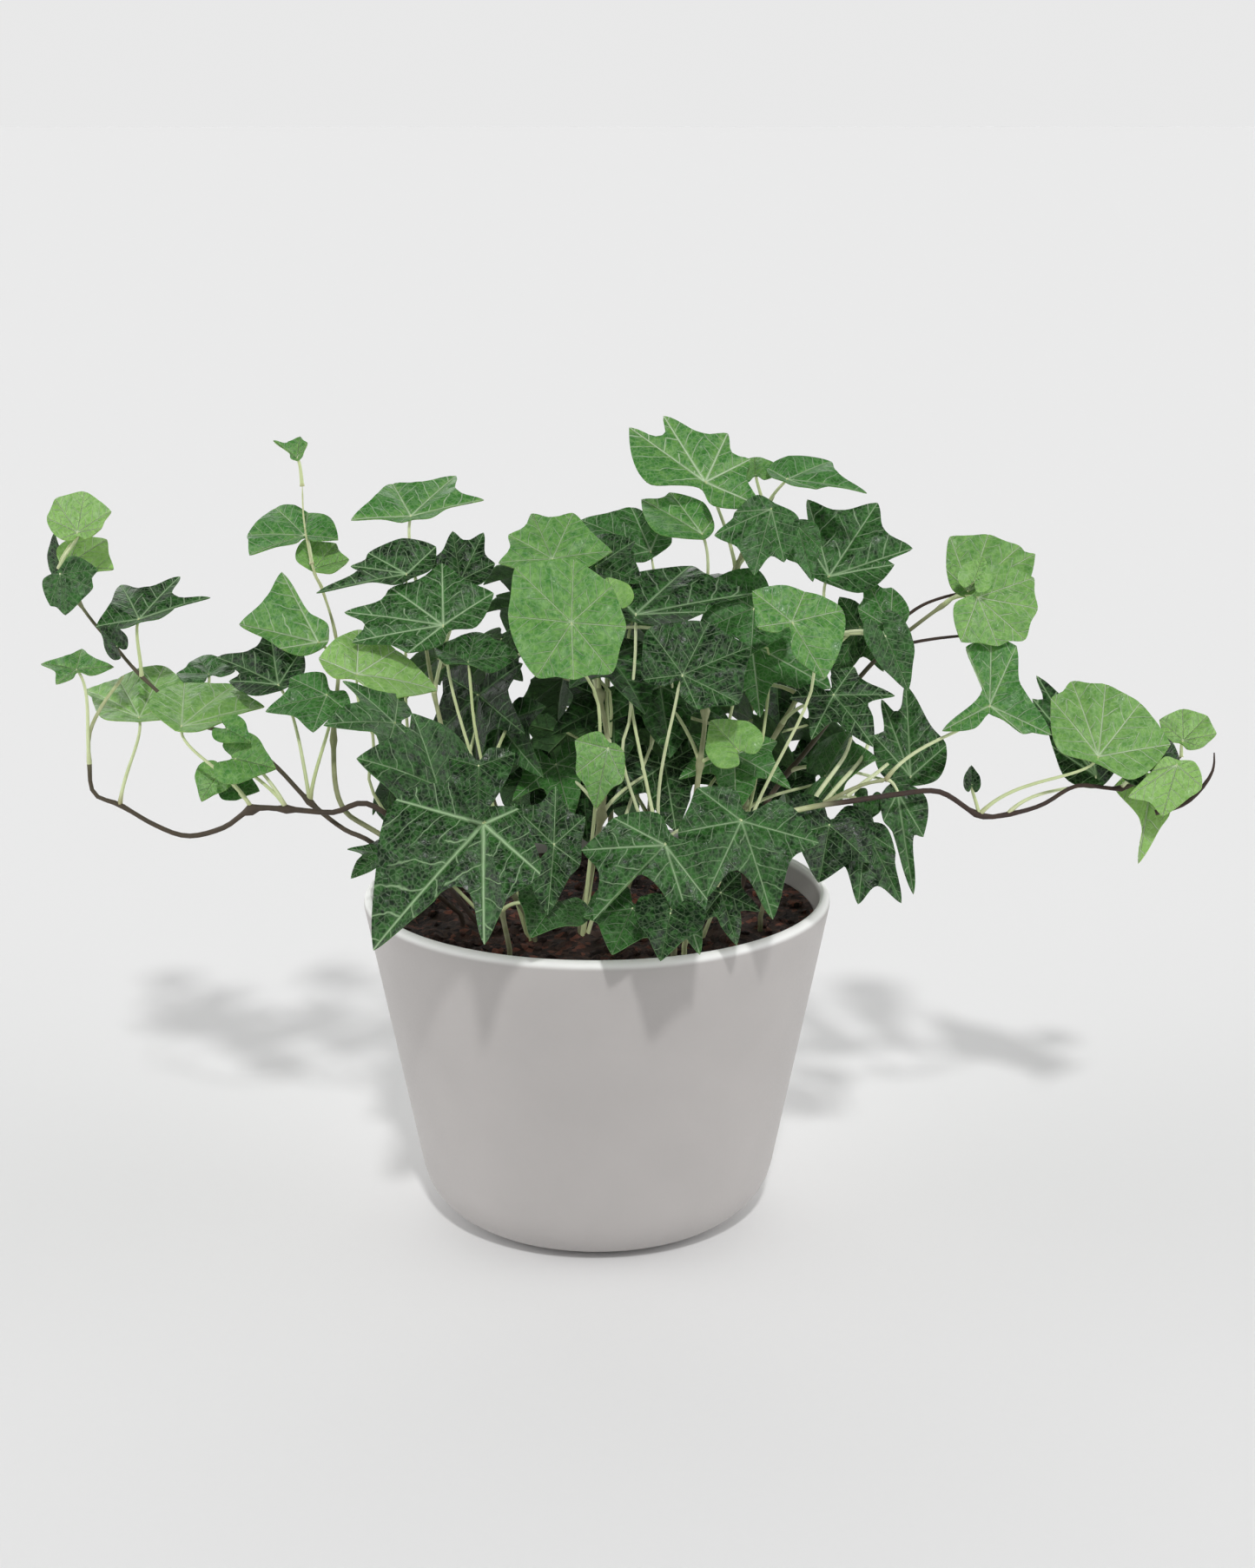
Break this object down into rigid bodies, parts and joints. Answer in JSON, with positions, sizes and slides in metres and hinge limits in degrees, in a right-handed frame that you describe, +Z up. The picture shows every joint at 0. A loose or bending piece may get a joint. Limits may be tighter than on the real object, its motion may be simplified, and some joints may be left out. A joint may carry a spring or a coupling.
{
  "type": "potted ivy",
  "caption": "Potted ivy: lobed green leaves on long stalks and trailing woody stems, in potting soil in a round tapered plastic pot with a rounded foot.",
  "frame": {"origin": "on the pot's axis, at the underside of its foot", "axes": "+Z up along the pot's axis, -Y towards the front of the plant, +X to the viewer's right"},
  "size_m": [0.418, 0.2252, 0.29],
  "materials": {
    "pot_plastic": "matt off-white",
    "soil": "loose dark potting soil",
    "ivy": "waxy green leaves on green and brown stems"
  },
  "bodies": {
    "root": {"pot": "pot_plastic", "potting_soil": "soil", "ivy_stem_left_low": "ivy", "ivy_stem_left_middle": "ivy", "ivy_stem_left_upper": "ivy", "ivy_stem_left_crown": "ivy", "ivy_stem_front_left": "ivy", "ivy_stem_front_right": "ivy", "ivy_stem_middle_right": "ivy", "ivy_stem_centre": "ivy", "ivy_stem_top": "ivy", "ivy_stem_right_crown": "ivy", "ivy_stem_right_cluster": "ivy", "ivy_stem_right_trailing": "ivy", "ivy_stem_right_drooping": "ivy", "ivy_stem_back_left": "ivy", "ivy_stem_back_centre": "ivy", "ivy_stem_back_right": "ivy"}
  },
  "joints": []
}
